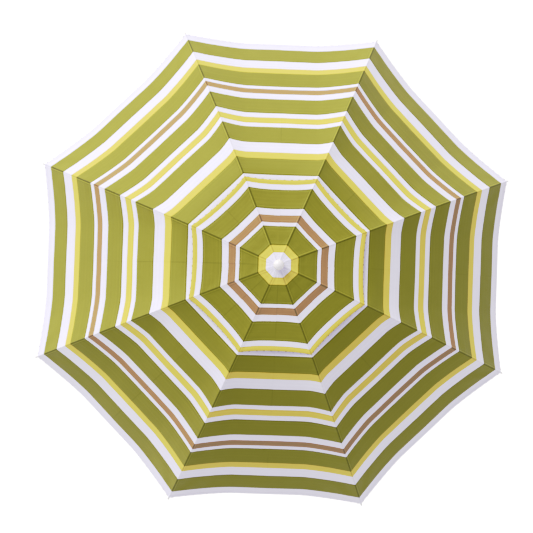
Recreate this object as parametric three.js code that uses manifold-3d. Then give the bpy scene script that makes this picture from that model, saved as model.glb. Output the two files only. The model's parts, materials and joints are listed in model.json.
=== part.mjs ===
import * as THREE from 'three';
import { mergeVertices } from 'three/addons/utils/BufferGeometryUtils.js';
import Module from 'manifold-3d';

// A manual golf umbrella, open, with a vented double canopy on eight ribs.
// Millimetres, +Z up the shaft, origin at the middle of the handle's flat end.

const wasm = await Module();
wasm.setup();

// Frame of the umbrella
const RIBS = 8;
const HALF_SECTOR = Math.PI / RIBS;
const FIRST_RIB = HALF_SECTOR;
const PIVOT_Z = 945; // rib hinges in the crown notch
const PIVOT_R = 15;
const GAP = 0.3; // between pieces that touch
const ROUND = 24; // sides of a round piece

// Ribs: nearly flat from the crown, bent over the stretcher joint, then curving to the tip
const RIB_LENGTH = 742;
const RIB_WIDTH = 3.6;
const RIB_HEIGHT = 4.5;
const RIB_EYE = 2.6;
const WIRE_HOLE = 1; // radius, for the tying wire
const CROWN_SLOPE = 9;
const BEND_SLOPE = 21;
const TIP_SLOPE = 18;
const BEND_START = 192;
const BEND_END = 256;
const TIP_RADIUS = 2.4;
const TIP_TAPER = 0.7;
const TIP_HOLD = 4; // length of the rib inside its tip
const TIP_OUT = 10; // rib tip beyond the hem

// Stretchers
const STRETCHER_LENGTH = 280;
const STRETCHER_WIDTH = 3.2;
const STRETCHER_HEIGHT = 4;
const RIVET_RADIUS = 1;
const RIVET_HALF_LENGTH = 4.2;
const RIVET_HEAD = 1.8;
const RIVET_HEAD_HEIGHT = 0.8;
const EAR_THICKNESS = 1.2;
const EAR_RADIUS = 2.2;
const RIVET_DEPTH = 2.7; // under the top edge of the rib
const CROTCH = 15; // where the fork closes
const CROTCH_LENGTH = 4;

// Shaft, crown notch and runner
const SHAFT_R = 7;
const SHAFT_BORE = 6;
const SHAFT_FOOT = 18; // the tube stands on the floor of the grip's bore
const SLIDE_R = 7.3;
const NOTCH_R = 18.5;
const NOTCH_BOTTOM = -6; // from the rib pivots
const NOTCH_TOP = 4.2;
const NOTCH_ROOF = 3; // underside of the roof over the slots
const NOTCH_SLOT_R = 12;
const NOTCH_SLOT = 4.8;
const GROOVE_RADIUS = 1;
const WIRE_RADIUS = 0.5;
const STOP_R = 10;
const STOP_HEIGHT = 5;
const SLEEVE_R = 11.5;
const FLANGE_R = 14;
const FLANGE_HEIGHT = 3;
const RUNNER_TOP = 5; // from the stretcher pivots, like the next two
const RUNNER_BOTTOM = 60;
const RUNNER_HEAD = 4;
const RUNNER_SLOT = 4.4;
const RELIEF_HALF_WIDTH = 1.8;
const CATCH_WIDTH = 2.8;
const CATCH_LENGTH = 34;
const CATCH_OUT = 3.2;
const CATCH_FLAT = 6;
const CATCH_ROOT_R = 2;
const BOTTOM_CATCH_Z = 386;
const PAST = 2; // cutting shapes reach this far past the piece they cut

// Handle and finial
const GRIP_TOP = 190;
const GRIP_SIDE = [[15.6, 22], [15.2, 60], [13.4, 105], [13.8, 150], [14.4, 178]]; // radius, height
const CAP_R = 14;
const CAP_HEIGHT = 5.7;
const FERRULE_TOP = 204;
const BALL_R = 13;
const BALL_RISE = 11; // middle of the ball over its base
const NECK_R = 12;
const NECK_HEIGHT = 1.4;
const NECK_ANGLE = -0.75; // where the ball starts, in radians from its equator

// Canopies
const FABRIC = 1.2;
const SEAM_CLEARANCE = 1.5; // fabric above the rib
const VENT_CLEARANCE = 3.1; // vent cap above the rib, with the lower canopy between them
const VENT_START = -6.5; // seam length at the hole for the shaft
const HEM = 740; // seam length at the hem of the lower canopy
const VENT_HEM = 212; // seam length at the hem of the vent cap
const LOWER_START = 158; // seam length at the inner edge of the lower canopy
const VENT_SAG = 4;
const LOWER_SAG = 12;
const SEAM_HALF_GAP = 0.16;
const ACROSS_POWER = 2.4;
const COLUMNS = 3; // of each half-gore
// Radius of the middle line over the radius of the seam: pulled in more at the hem than at the crown
const VENT_PULL = { crown: 0.922, hem: 0.897, from: 60, to: 225 };
const LOWER_PULL = { crown: 0.926, hem: 0.8975, from: 190, to: 400 };

const rad = THREE.MathUtils.degToRad;
const smooth = THREE.MathUtils.smoothstep;
const lerp = THREE.MathUtils.lerp;

// ---------- rib curve ----------

function ribSlope(s) {
  const bend = BEND_SLOPE * smooth(s, BEND_START, BEND_END);
  const outer = TIP_SLOPE * Math.max(0, (s - BEND_END) / (RIB_LENGTH - BEND_END));
  return rad(CROWN_SLOPE + bend + outer);
}

// Top edge of a rib in its own plane: radius, height and slope at length s
function ribTop(s) {
  const steps = Math.max(1, Math.ceil(s / 4));
  const ds = s / steps;
  let r = PIVOT_R;
  let z = PIVOT_Z + RIB_EYE;
  for (let i = 0; i < steps; i += 1) {
    const slope = ribSlope((i + 0.5) * ds);
    r += Math.cos(slope) * ds;
    z -= Math.sin(slope) * ds;
  }
  return { r, z, slope: ribSlope(s) };
}

// A point under the top edge of a rib by the given depth
function underRib(s, depth) {
  const p = ribTop(s);
  return { r: p.r - Math.sin(p.slope) * depth, z: p.z - Math.cos(p.slope) * depth, slope: p.slope };
}

const spread = (from, to, count) => Array.from({ length: count + 1 }, (_, i) => lerp(from, to, i / count));

// Where the rib and the cloth on it turn: both canopies and the rib share these stations
const underVent = [LOWER_START, BEND_START, lerp(BEND_START, VENT_HEM, 0.5), VENT_HEM];
const lowerStations = [...underVent, lerp(VENT_HEM, BEND_END, 0.5), ...spread(BEND_END, HEM, 7)];

// The rivet sits where its distance from the crown pivot is the stretcher's length
function rivetStation() {
  let low = 0;
  let high = RIB_LENGTH;
  for (let i = 0; i < 40; i += 1) {
    const mid = (low + high) / 2;
    const p = underRib(mid, RIVET_DEPTH);
    if (Math.hypot(p.r - PIVOT_R, p.z - PIVOT_Z) < STRETCHER_LENGTH) low = mid;
    else high = mid;
  }
  return low;
}

const RIVET = underRib(rivetStation(), RIVET_DEPTH);
const RUNNER_Z = 2 * RIVET.z - PIVOT_Z;
const FINIAL_Z = ribTop(VENT_START).z + VENT_CLEARANCE + FABRIC + GAP;
const SHAFT_TOP = FINIAL_Z + 12;

// ---------- solids ----------

function solid(geometry) {
  const plain = geometry.clone();
  plain.deleteAttribute('normal');
  plain.deleteAttribute('uv');
  const merged = mergeVertices(plain, 1e-4);
  const points = new Float32Array(merged.attributes.position.array);
  const triangles = new Uint32Array(merged.index.array);
  return new wasm.Manifold(new wasm.Mesh({ numProp: 3, vertProperties: points, triVerts: triangles }));
}

function geometryOf(manifold) {
  const mesh = manifold.getMesh();
  const geometry = new THREE.BufferGeometry();
  geometry.setAttribute('position', new THREE.BufferAttribute(mesh.vertProperties, 3));
  geometry.setIndex(new THREE.BufferAttribute(mesh.triVerts, 1));
  return geometry;
}

function joined(first, ...others) {
  return others.reduce((whole, piece) => whole.add(solid(piece)), solid(first));
}

function cut(manifold, ...tools) {
  return tools.reduce((whole, tool) => whole.subtract(solid(tool)), manifold);
}

// A ring or turned piece from [radius, height] pairs
function turned(outline, segments) {
  const points = outline.map(([r, z]) => new THREE.Vector2(r, z));
  return new THREE.LatheGeometry(points, segments).rotateX(Math.PI / 2);
}

function ring(inner, outer, bottom, top, segments) {
  return turned([[inner, bottom], [outer, bottom], [outer, top], [inner, top], [inner, bottom]], segments);
}

function box(x0, x1, y0, y1, z0, z1) {
  const geometry = new THREE.BoxGeometry(x1 - x0, y1 - y0, z1 - z0);
  return geometry.translate((x0 + x1) / 2, (y0 + y1) / 2, (z0 + z1) / 2);
}

// A pin along Y at (x, z), from -half to +half
function pin(x, z, radius, half, segments = 8) {
  return new THREE.CylinderGeometry(radius, radius, 2 * half, segments).translate(x, 0, z);
}

// An outline in the XZ plane, extruded along Y from y0 to y1
function plate(points, y0, y1) {
  const shape = new THREE.Shape(points.map(([x, z]) => new THREE.Vector2(x, z)));
  const geometry = new THREE.ExtrudeGeometry(shape, { depth: y1 - y0, bevelEnabled: false });
  return geometry.rotateX(Math.PI / 2).translate(0, y1, 0);
}

function arc(x, z, radius, from, to, count) {
  return Array.from({ length: count + 1 }, (_, i) => {
    const a = lerp(from, to, i / count);
    return [x + radius * Math.cos(a), z + radius * Math.sin(a)];
  });
}

// ---------- materials ----------

function finish(color, roughness, metalness) {
  return new THREE.MeshStandardMaterial({ color, roughness, metalness });
}

const steel = finish(0xb9bcc0, 0.35, 1);
const darkSteel = finish(0x55585c, 0.45, 1);
const whitePlastic = finish(0xf4f4f6, 0.2, 0);
const blackPlastic = finish(0x202124, 0.5, 0);
const gripFoam = finish(0x2b2b2d, 0.85, 0);
const lowerCloth = finish(0xb9b858, 0.8, 0);
const ventCloth = finish(0xe6dc82, 0.8, 0);

const umbrella = new THREE.Group();

function add(name, geometry, material, azimuth = 0) {
  const mesh = new THREE.Mesh(geometry, material);
  mesh.name = name;
  mesh.rotation.z = azimuth;
  umbrella.add(mesh);
}

// ---------- shaft and what is fixed to it ----------

const topCatchZ = RUNNER_Z - RUNNER_BOTTOM - 1;
const stopZ = RUNNER_Z + RUNNER_TOP + 1;

function catchSlot(top) {
  const side = CATCH_WIDTH / 2 + GAP;
  return box(0, SHAFT_R + PAST, -side, side, top - CATCH_LENGTH - GAP, top + GAP);
}

const tube = solid(ring(SHAFT_BORE, SHAFT_R, SHAFT_FOOT + GAP, SHAFT_TOP, ROUND));
add('shaft', geometryOf(cut(tube, catchSlot(topCatchZ), catchSlot(BOTTOM_CATCH_Z))), steel);

// A spring blade: flat at its upper end, and sloping back into the shaft below
function catchBlade(top) {
  const tail = top - CATCH_LENGTH;
  const face = SHAFT_R + CATCH_OUT;
  const inside = [[CATCH_ROOT_R, top], [CATCH_ROOT_R, tail]];
  const outside = [[SHAFT_R - 0.4, tail], [face, top - CATCH_FLAT], [face, top]];
  return plate([...inside, ...outside], -CATCH_WIDTH / 2, CATCH_WIDTH / 2);
}

add('top_catch', catchBlade(topCatchZ), darkSteel);
add('bottom_catch', catchBlade(BOTTOM_CATCH_Z), darkSteel);

function slots(z0, z1, width) {
  return Array.from({ length: RIBS }, (_, i) => {
    const slot = box(NOTCH_SLOT_R, NOTCH_R + PAST, -width / 2, width / 2, z0, z1);
    return slot.rotateZ(FIRST_RIB + 2 * HALF_SECTOR * i);
  });
}

// Crown notch: a slotted ring whose roof closes the slots, grooved for the tying wire
const crownRing = solid(ring(SLIDE_R, NOTCH_R, PIVOT_Z + NOTCH_BOTTOM, PIVOT_Z + NOTCH_TOP, ROUND));
const groove = new THREE.TorusGeometry(PIVOT_R, GROOVE_RADIUS, 5, ROUND).translate(0, 0, PIVOT_Z);
const ribSlots = slots(PIVOT_Z + NOTCH_BOTTOM - PAST, PIVOT_Z + NOTCH_ROOF, NOTCH_SLOT);
add('crown_notch', geometryOf(cut(crownRing, groove, ...ribSlots)), whitePlastic);
add('crown_wire', new THREE.TorusGeometry(PIVOT_R, WIRE_RADIUS, 5, ROUND).translate(0, 0, PIVOT_Z), steel);
add('runner_stop', ring(SLIDE_R, STOP_R, stopZ, stopZ + STOP_HEIGHT, 20), darkSteel);

// Ball finial on a low base, bored from below for the end of the shaft
const ball = arc(0, FINIAL_Z + BALL_RISE, BALL_R, NECK_ANGLE, Math.PI / 2, 8);
ball[ball.length - 1][0] = 0;
add('finial', turned([[0, SHAFT_TOP + GAP], [SLIDE_R, SHAFT_TOP + GAP], [SLIDE_R, FINIAL_Z],
  [NECK_R, FINIAL_Z], [NECK_R, FINIAL_Z + NECK_HEIGHT], ...ball], ROUND), whitePlastic);

// ---------- handle ----------

add('handle_grip', turned([[0, CAP_HEIGHT + GAP], [CAP_R, CAP_HEIGHT + GAP], ...GRIP_SIDE, [12.5, GRIP_TOP],
  [SLIDE_R, GRIP_TOP], [SLIDE_R, SHAFT_FOOT], [0, SHAFT_FOOT]], ROUND), gripFoam);
const capOutline = [[0, 0], [CAP_R - 2, 0], [CAP_R, 2], [CAP_R, CAP_HEIGHT], [0, CAP_HEIGHT]];
add('handle_end_cap', turned(capOutline, ROUND), blackPlastic);
add('handle_ferrule', turned([[SLIDE_R, GRIP_TOP + GAP], [12, GRIP_TOP + GAP], [11, FERRULE_TOP - 2],
  [9, FERRULE_TOP], [SLIDE_R, FERRULE_TOP], [SLIDE_R, GRIP_TOP + GAP]], ROUND), steel);

// ---------- runner ----------

// Sleeve, toothed head for the stretchers and a finger flange; the bore has a relief for the catches
const sleeveBottom = RUNNER_Z - RUNNER_BOTTOM;
const sleeveTop = RUNNER_Z + RUNNER_TOP;
const runnerHead = ring(SLIDE_R, NOTCH_R, RUNNER_Z - RUNNER_HEAD, RUNNER_Z + RUNNER_HEAD, ROUND);
const flangeTop = sleeveBottom + FLANGE_HEIGHT;
const sleeve = turned([[SLIDE_R, sleeveBottom], [FLANGE_R, sleeveBottom], [FLANGE_R, flangeTop],
  [SLEEVE_R, flangeTop + 2], [SLEEVE_R, sleeveTop], [SLIDE_R, sleeveTop], [SLIDE_R, sleeveBottom]], ROUND);
const relief = box(SHAFT_BORE, SHAFT_R + CATCH_OUT + 0.4, -RELIEF_HALF_WIDTH, RELIEF_HALF_WIDTH,
  sleeveBottom - PAST, sleeveTop + PAST);
const stretcherSlots = slots(RUNNER_Z - RUNNER_HEAD - PAST, RUNNER_Z + RUNNER_HEAD + PAST, RUNNER_SLOT);
add('runner', geometryOf(cut(joined(sleeve, runnerHead), relief, ...stretcherSlots)), blackPlastic);

// ---------- ribs and stretchers ----------

function ribGeometry() {
  const stations = [0, ...lowerStations, RIB_LENGTH];
  const top = stations.map((s) => underRib(s, 0)).map((p) => [p.r, p.z]);
  const bottom = stations.map((s) => underRib(s, RIB_HEIGHT)).map((p) => [p.r, p.z]);
  const bar = plate([...top, ...bottom.reverse()], -RIB_WIDTH / 2, RIB_WIDTH / 2);
  const eye = pin(PIVOT_R, PIVOT_Z, RIB_EYE, RIB_WIDTH / 2);
  const rivet = pin(RIVET.r, RIVET.z, RIVET_RADIUS, RIVET_HALF_LENGTH, 6);
  const headHalf = RIVET_HEAD_HEIGHT / 2;
  const headAt = RIB_WIDTH / 2 + GAP + EAR_THICKNESS + GAP + headHalf;
  const head = (side) => pin(RIVET.r, RIVET.z, RIVET_HEAD, headHalf, 6).translate(0, side * headAt, 0);
  const end = underRib(RIB_LENGTH - TIP_HOLD, RIB_HEIGHT / 2);
  const tipLength = TIP_HOLD + TIP_OUT;
  const tip = new THREE.CylinderGeometry(TIP_RADIUS * TIP_TAPER, TIP_RADIUS, tipLength, 8)
    .translate(0, tipLength / 2, 0)
    .rotateZ(-Math.PI / 2 - end.slope)
    .rotateX(Math.PI / 2)
    .translate(end.r, 0, end.z);
  const wireHole = pin(PIVOT_R, PIVOT_Z, WIRE_HOLE, RIB_WIDTH, 6);
  return geometryOf(cut(joined(bar, eye, rivet, head(1), head(-1), tip), wireHole));
}

// Built along +X from the rivet, then turned to run from the rivet to the runner
function stretcherGeometry() {
  const y = RIB_WIDTH / 2 + GAP;
  const half = STRETCHER_HEIGHT / 2;
  const crotchEnd = CROTCH + CROTCH_LENGTH;
  const crotchY = y + EAR_THICKNESS / 2;
  const earEnd = arc(0, 0, EAR_RADIUS, Math.PI / 2, 1.5 * Math.PI, 4);
  const ear = [...earEnd, [crotchEnd, -half], [crotchEnd, half]];
  const ears = [plate(ear, y, y + EAR_THICKNESS), plate(ear, -y - EAR_THICKNESS, -y)];
  const crotch = box(CROTCH, crotchEnd, -crotchY, crotchY, -half, half);
  const barStart = CROTCH + CROTCH_LENGTH / 2;
  const bar = box(barStart, STRETCHER_LENGTH, -STRETCHER_WIDTH / 2, STRETCHER_WIDTH / 2, -half, half);
  const eye = pin(STRETCHER_LENGTH, 0, RIB_EYE, STRETCHER_WIDTH / 2);
  const rivetHole = pin(0, 0, RIVET_RADIUS + 2 * GAP, y + EAR_THICKNESS + PAST, 6);
  const whole = cut(joined(crotch, bar, eye, ...ears), rivetHole);
  const turn = Math.atan2(RUNNER_Z - RIVET.z, PIVOT_R - RIVET.r);
  return geometryOf(whole).rotateY(-turn).translate(RIVET.r, 0, RIVET.z);
}

// ---------- canopies ----------

// Each canopy is cut in gores; a half-gore runs from a rib to the middle of the gap between ribs.
// across = 0 on the rib and 1 on the middle line, where the cloth is pulled in and hangs lower.
function clothPoint(kind, s, across) {
  const seam = ribTop(s);
  const vent = kind === 'vent';
  const { crown, hem, from, to } = vent ? VENT_PULL : LOWER_PULL;
  const middle = lerp(crown, hem, smooth(seam.r, from, to));
  const sag = vent ? VENT_SAG * Math.min(1, seam.r / VENT_PULL.to) : LOWER_SAG;
  const pull = 1 - (1 - across) ** ACROSS_POWER;
  const chord = seam.r * Math.cos(HALF_SECTOR);
  const x = lerp(chord, seam.r * middle, pull);
  const y = Math.max(seam.r * Math.sin(HALF_SECTOR) * (1 - across), SEAM_HALF_GAP);
  return { x, y, z: seam.z - sag * pull, slope: seam.slope };
}

const zAxis = new THREE.Vector3(0, 0, 1);
const seamNormal = new THREE.Vector3(Math.sin(HALF_SECTOR), -Math.cos(HALF_SECTOR), 0);

// A closed sheet over the grid of stations, offset from the rib along the slope
function clothGeometry(kind, stations, offset, side) {
  const layers = [offset + FABRIC, offset].map((height) => stations.map((s) => (
    Array.from({ length: COLUMNS + 1 }, (_, j) => {
      const p = clothPoint(kind, s, j / COLUMNS);
      const azimuth = Math.atan2(p.y, p.x);
      const point = new THREE.Vector3(p.x, p.y, p.z);
      point.x += Math.cos(azimuth) * Math.sin(p.slope) * height;
      point.y += Math.sin(azimuth) * Math.sin(p.slope) * height;
      point.z += Math.cos(p.slope) * height;
      if (j === 0) point.addScaledVector(seamNormal, SEAM_HALF_GAP);
      if (j === COLUMNS) point.y = SEAM_HALF_GAP;
      point.applyAxisAngle(zAxis, -HALF_SECTOR);
      return new THREE.Vector3(point.x, point.y * side, point.z);
    }))));
  const rows = stations.length;
  const width = COLUMNS + 1;
  const at = (layer, i, j) => (layer * rows + i) * width + j;
  const positions = layers.flat(2).flatMap((p) => [p.x, p.y, p.z]);
  const faces = [];
  const quad = (a, b, c, d) => faces.push(a, b, c, a, c, d);
  for (let i = 0; i < rows - 1; i += 1) {
    for (let j = 0; j < COLUMNS; j += 1) {
      quad(at(0, i, j), at(0, i, j + 1), at(0, i + 1, j + 1), at(0, i + 1, j));
      quad(at(1, i, j), at(1, i + 1, j), at(1, i + 1, j + 1), at(1, i, j + 1));
    }
    quad(at(0, i, 0), at(0, i + 1, 0), at(1, i + 1, 0), at(1, i, 0));
    quad(at(0, i + 1, COLUMNS), at(0, i, COLUMNS), at(1, i, COLUMNS), at(1, i + 1, COLUMNS));
  }
  for (let j = 0; j < COLUMNS; j += 1) {
    quad(at(0, 0, j + 1), at(0, 0, j), at(1, 0, j), at(1, 0, j + 1));
    quad(at(0, rows - 1, j), at(0, rows - 1, j + 1), at(1, rows - 1, j + 1), at(1, rows - 1, j));
  }
  // The mirror image has its faces turned round
  if (side < 0) {
    for (let k = 0; k < faces.length; k += 3) [faces[k + 1], faces[k + 2]] = [faces[k + 2], faces[k + 1]];
  }
  const geometry = new THREE.BufferGeometry();
  geometry.setAttribute('position', new THREE.Float32BufferAttribute(positions, 3));
  geometry.setIndex(faces);
  return geometry;
}

const ventStations = [VENT_START, 8, 55, 105, ...underVent];

for (let i = 0; i < RIBS; i += 1) {
  const azimuth = FIRST_RIB + 2 * HALF_SECTOR * i;
  const n = i + 1;
  add(`rib_${n}`, ribGeometry(), darkSteel, azimuth);
  add(`stretcher_${n}`, stretcherGeometry(), darkSteel, azimuth);
  for (const [word, side] of [['right', 1], ['left', -1]]) {
    const lowerHalf = clothGeometry('lower', lowerStations, SEAM_CLEARANCE, side);
    const ventHalf = clothGeometry('vent', ventStations, VENT_CLEARANCE, side);
    add(`canopy_${n}_${word}`, lowerHalf, lowerCloth, azimuth);
    add(`vent_${n}_${word}`, ventHalf, ventCloth, azimuth);
  }
}

export default umbrella;
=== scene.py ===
import json
import math

import bmesh
import bpy
import numpy as np
from mathutils import Matrix, Vector

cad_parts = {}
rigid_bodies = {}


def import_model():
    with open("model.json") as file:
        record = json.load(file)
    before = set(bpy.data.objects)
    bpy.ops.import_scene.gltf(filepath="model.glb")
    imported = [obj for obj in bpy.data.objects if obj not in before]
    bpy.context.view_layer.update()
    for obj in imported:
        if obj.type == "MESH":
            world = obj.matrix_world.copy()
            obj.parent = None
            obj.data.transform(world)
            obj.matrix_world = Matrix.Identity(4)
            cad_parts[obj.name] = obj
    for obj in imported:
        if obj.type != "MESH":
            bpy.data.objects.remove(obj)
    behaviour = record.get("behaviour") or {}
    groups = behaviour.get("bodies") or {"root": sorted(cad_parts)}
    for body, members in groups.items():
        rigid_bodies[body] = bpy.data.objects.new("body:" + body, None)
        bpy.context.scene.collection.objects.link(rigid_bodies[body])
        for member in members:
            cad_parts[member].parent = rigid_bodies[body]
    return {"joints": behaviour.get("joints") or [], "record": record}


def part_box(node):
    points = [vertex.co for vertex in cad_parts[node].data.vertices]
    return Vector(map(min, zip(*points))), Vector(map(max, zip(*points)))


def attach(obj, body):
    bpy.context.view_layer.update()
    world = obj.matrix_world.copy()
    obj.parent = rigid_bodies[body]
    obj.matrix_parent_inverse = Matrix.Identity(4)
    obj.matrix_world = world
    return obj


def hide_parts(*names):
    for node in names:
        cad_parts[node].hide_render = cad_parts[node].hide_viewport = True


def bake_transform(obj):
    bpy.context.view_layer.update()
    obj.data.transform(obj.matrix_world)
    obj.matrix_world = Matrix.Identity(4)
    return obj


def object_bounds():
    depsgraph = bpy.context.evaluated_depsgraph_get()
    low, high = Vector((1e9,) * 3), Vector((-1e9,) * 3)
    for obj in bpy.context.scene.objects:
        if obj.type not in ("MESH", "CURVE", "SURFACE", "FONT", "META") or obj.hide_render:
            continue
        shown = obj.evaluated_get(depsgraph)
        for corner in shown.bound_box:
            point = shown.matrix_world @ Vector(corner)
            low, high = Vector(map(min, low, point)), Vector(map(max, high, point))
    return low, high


# A golf umbrella, open, seen from above. Metres, +Z up the shaft, origin at the handle's flat end.

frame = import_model()
cad_low, cad_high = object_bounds()

# ---------- sizes ----------

RIBS = 8
HALF_SECTOR = math.pi / RIBS
MM = 0.001


def joint(name):
    return next(j for j in frame["joints"] if j["name"] == name)


def along(low, high, share):
    return low + (high - low) * share


PIVOT = Vector(joint("rib_1_fold")["pos_m"])
PIVOT_R = math.hypot(PIVOT.x, PIVOT.y)
PIVOT_Z = PIVOT.z
RIVET = Vector(joint("stretcher_1_fold")["pos_m"])
RIVET_R = math.hypot(RIVET.x, RIVET.y)
RIVET_Z = RIVET.z
RUNNER_Z = 2 * RIVET_Z - PIVOT_Z
STRETCHER_LENGTH = math.hypot(RIVET_R - PIVOT_R, RIVET_Z - PIVOT_Z)

# Ribs, as in the frame: slope in degrees along the top edge
RIB_LENGTH = 0.742
RIB_WIDTH = 0.0036
RIB_HEIGHT = 0.0045
RIB_EYE = 0.0026
EYE_BORE = 0.001
CROWN_SLOPE = 9
BEND_SLOPE = 21
TIP_SLOPE = 18
BEND_START = 0.192
BEND_END = 0.256

# Canopies: stations are lengths along the seam
HEM = 0.740
VENT_HEM = 0.2155
VENT_START = -0.0045
LOWER_START = 0.158
VENT_SAG = 0.004
LOWER_SAG = 0.012
LOWER_LIFT = 0.0021
VENT_LIFT = 0.0038
# How far out the middle of a gore is, as a share of its ribs' radius, from one radius to another
VENT_MIDDLE, VENT_MIDDLE_AT = (0.922, 0.897), (0.060, 0.225)
LOWER_MIDDLE, LOWER_MIDDLE_AT = (0.926, 0.8975), (0.190, 0.400)
CLOTH = 0.0005
TURNED_UNDER = CLOTH * 0.8  # what the folded edge of the cloth adds at a hem or a felled seam
ACROSS_POWER = 2.4
PRESSED_FOLD = 0.087  # each gore lies flat up to a pressed line this far from its middle
FOLD_POWER = 1.35
HEM_BAND = 0.009
HEM_STEP = 0.0005  # over which the hem thickens
EDGE_ROUND = 0.0008
FELL = 0.0055  # width of the felled seam beside each rib
FELL_STEP = 0.0006
SEAM_GAP = 0.00002
MIDDLE_OVERLAP = 0.00005  # the halves overlap a little, so that no light shows between them
PLEAT_CLEARANCE = 0.0003  # between shut pleats that lie against each other
STITCH_PITCH = 0.0165
STITCH_LENGTH = 0.0052
STITCH_RADIUS = 0.0007
STITCH_ENDS = ((-1, 0.3), (-0.7, 1.0), (0.7, 1.0), (1, 0.3))  # shares of its half length and of its radius
STITCH_OUT = 0.0001  # past the hem
STITCH_UP = 0.0002

# Cloth stripes from the hem of each gore inward, as (colour, width in millimetres)
LOWER_STRIPES = [
    ("white", 24.8), ("green", 52.4), ("white", 31.1), ("yellow", 19.8), ("green", 52.4), ("white", 11.3),
    ("brown", 17.8), ("white", 18.3), ("green", 52.6), ("white", 15.4), ("yellow", 19.2), ("white", 13.0),
    ("green", 54.0), ("white", 30.5), ("yellow", 19.8), ("green", 47.5), ("white", 80.0),
]
VENT_STRIPES = [
    ("yellow", 11.6), ("white", 12.8), ("green", 47.4), ("white", 15.4), ("brown", 18.2), ("white", 9.0),
    ("green", 46.7), ("yellow", 17.5), ("white", 40.0),
]
DYES = {
    "white": (0.80, 0.785, 0.942),
    "green": (0.258, 0.254, 0.049),
    "yellow": (0.640, 0.528, 0.125),
    "brown": (0.357, 0.246, 0.120),
}


def turn_when_shut(name):
    """How far a coupled joint has turned when the runner is all the way down."""
    coupling = next(c for c in frame["record"]["behaviour"]["couplings"] if c["joint"] == name)
    return joint("runner_slide")["range_m"][0] * coupling["ratio"]


FOLD = turn_when_shut("rib_1_fold")
PLEAT = turn_when_shut("pleat_1_left")
# The chord of rib 1, about which its pleats turn, in the plane of XZ
CHORD = Matrix.Rotation(-HALF_SECTOR, 3, "Z") @ Vector(joint("pleat_1_left")["axis"])


# ---------- small helpers ----------


def smooth(x, low, high):
    t = np.clip((np.asarray(x, float) - low) / (high - low), 0, 1)
    return t * t * (3 - 2 * t)


def make_mesh(name, points, faces, sharp, materials, face_material=None):
    """A smooth piece whose edges are sharp where the faces meet at more than that many degrees."""
    mesh = bpy.data.meshes.new(name)
    mesh.from_pydata([tuple(p) for p in points], [], [tuple(f) for f in faces])
    mesh.validate()
    mesh.polygons.foreach_set("use_smooth", [True] * len(mesh.polygons))
    if face_material is not None:
        mesh.polygons.foreach_set("material_index", list(face_material))
    mesh.update()
    mesh.set_sharp_from_angle(angle=math.radians(sharp))
    piece = bpy.data.objects.new(name, mesh)
    bpy.context.scene.collection.objects.link(piece)
    for material in materials:
        mesh.materials.append(material)
    return piece


def merge(parts):
    """Points and faces of several closed shells as one list, with each shell's material number."""
    points, faces, numbers = [], [], []
    for shell_points, shell_faces, number in parts:
        start = len(points)
        points.extend(shell_points)
        faces.extend([tuple(start + i for i in f) for f in shell_faces])
        numbers.extend([number] * len(shell_faces))
    return points, faces, numbers


def turned(profile, segments=64):
    """A lathed shell about Z from (radius, height) pairs. A profile that ends on the axis is capped there."""
    points, faces, rings = [], [], []
    for r, z in profile:
        if r < 1e-7:
            rings.append([len(points)])
            points.append((0.0, 0.0, z))
        else:
            rings.append(list(range(len(points), len(points) + segments)))
            points.extend(
                (r * math.cos(2 * math.pi * k / segments), r * math.sin(2 * math.pi * k / segments), z)
                for k in range(segments)
            )
    pairs = list(zip(rings, rings[1:]))
    if len(rings[0]) > 1 and len(rings[-1]) > 1:
        pairs.append((rings[-1], rings[0]))
    for a, b in pairs:
        for k in range(segments):
            m = (k + 1) % segments
            if len(a) == 1 and len(b) > 1:
                faces.append((a[0], b[m], b[k]))
            elif len(b) == 1 and len(a) > 1:
                faces.append((a[k], a[m], b[0]))
            elif len(a) > 1:
                faces.append((a[k], a[m], b[m], b[k]))
    return points, faces


def rounded(profile, radius, steps=3):
    """Rounds the corners of a closed or open list of (radius, height) pairs, leaving the ends as they are."""
    out = [profile[0]]
    for before, corner, after in zip(profile, profile[1:], profile[2:]):
        b, c, a = (np.array(p, float) for p in (before, corner, after))
        cut = min(radius, np.linalg.norm(b - c) / 2.2, np.linalg.norm(a - c) / 2.2)
        start = c + (b - c) / max(np.linalg.norm(b - c), 1e-9) * cut
        end = c + (a - c) / max(np.linalg.norm(a - c), 1e-9) * cut
        for k in range(steps + 1):
            t = k / steps
            out.append(tuple((1 - t) ** 2 * start + 2 * t * (1 - t) * c + t * t * end))
    out.append(profile[-1])
    return out


def swept(frames, section):
    """A closed bar: section is (side, up) pairs going round, and frames are (point, side, up) along it."""
    n = len(section)
    points = [tuple(p + s * a + u * b) for p, s, u in frames for a, b in section]
    faces = [tuple(range(n))[::-1], tuple((len(frames) - 1) * n + i for i in range(n))]
    for k in range(len(frames) - 1):
        for i in range(n):
            j = (i + 1) % n
            faces.append((k * n + i, k * n + j, (k + 1) * n + j, (k + 1) * n + i))
    return points, faces


def prism(near_face, far_face):
    """A closed slab between two outlines of equally many points."""
    count = len(near_face)
    faces = [tuple(range(count))[::-1], tuple(range(count, 2 * count))]
    faces += [(i, (i + 1) % count, count + (i + 1) % count, count + i) for i in range(count)]
    return near_face + far_face, faces


def moved(shell, matrix):
    points, faces = shell
    return [tuple(matrix @ Vector(p)) for p in points], faces


def tidy_normals(piece):
    """Turns every closed shell of the piece outward."""
    shape = bmesh.new()
    shape.from_mesh(piece.data)
    bmesh.ops.recalc_face_normals(shape, faces=shape.faces)
    shape.to_mesh(piece.data)
    shape.free()


def pointing(direction, place):
    """A matrix that turns +Z to the direction and moves the origin to the place."""
    return Matrix.Translation(place) @ Vector(direction).to_track_quat("Z", "Y").to_matrix().to_4x4()


def rib_azimuth(n):
    return HALF_SECTOR * (2 * n - 1)


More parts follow.
